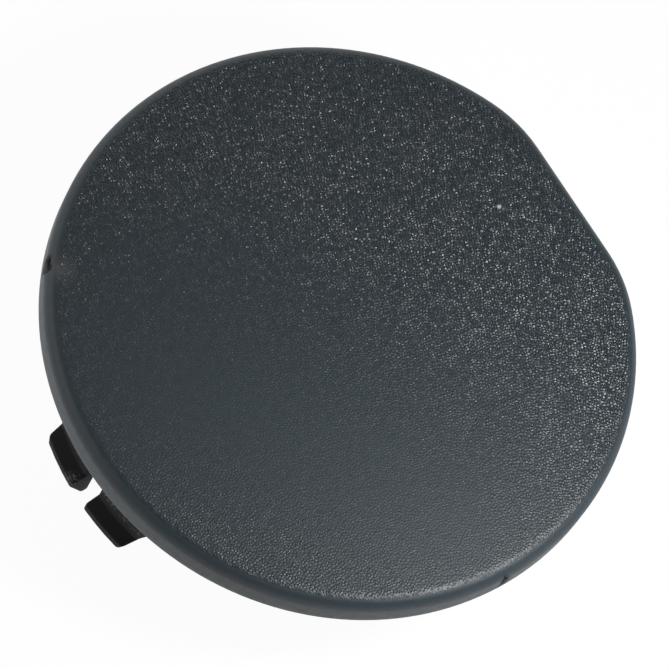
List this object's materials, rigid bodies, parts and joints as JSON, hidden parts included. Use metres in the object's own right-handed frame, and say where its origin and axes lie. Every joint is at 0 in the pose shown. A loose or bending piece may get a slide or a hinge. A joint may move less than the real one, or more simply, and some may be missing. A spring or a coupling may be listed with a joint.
{
  "type": "screw cover cap",
  "caption": "Round snap-in cover cap for a screw hole, with a grained face, a rounded edge, a prying flat and split snap hooks under the rim.",
  "frame": {"origin": "middle of the rim's seat, on the axis of the round edge", "axes": "+Z out of the grained face, +X towards the flat on the edge"},
  "size_m": [0.0313, 0.032, 0.009],
  "materials": {
    "moulded_plastic": "fine grain on the face, smooth satin on the edge and the hooks"
  },
  "bodies": {
    "root": {"cap": "moulded_plastic"}
  },
  "joints": []
}
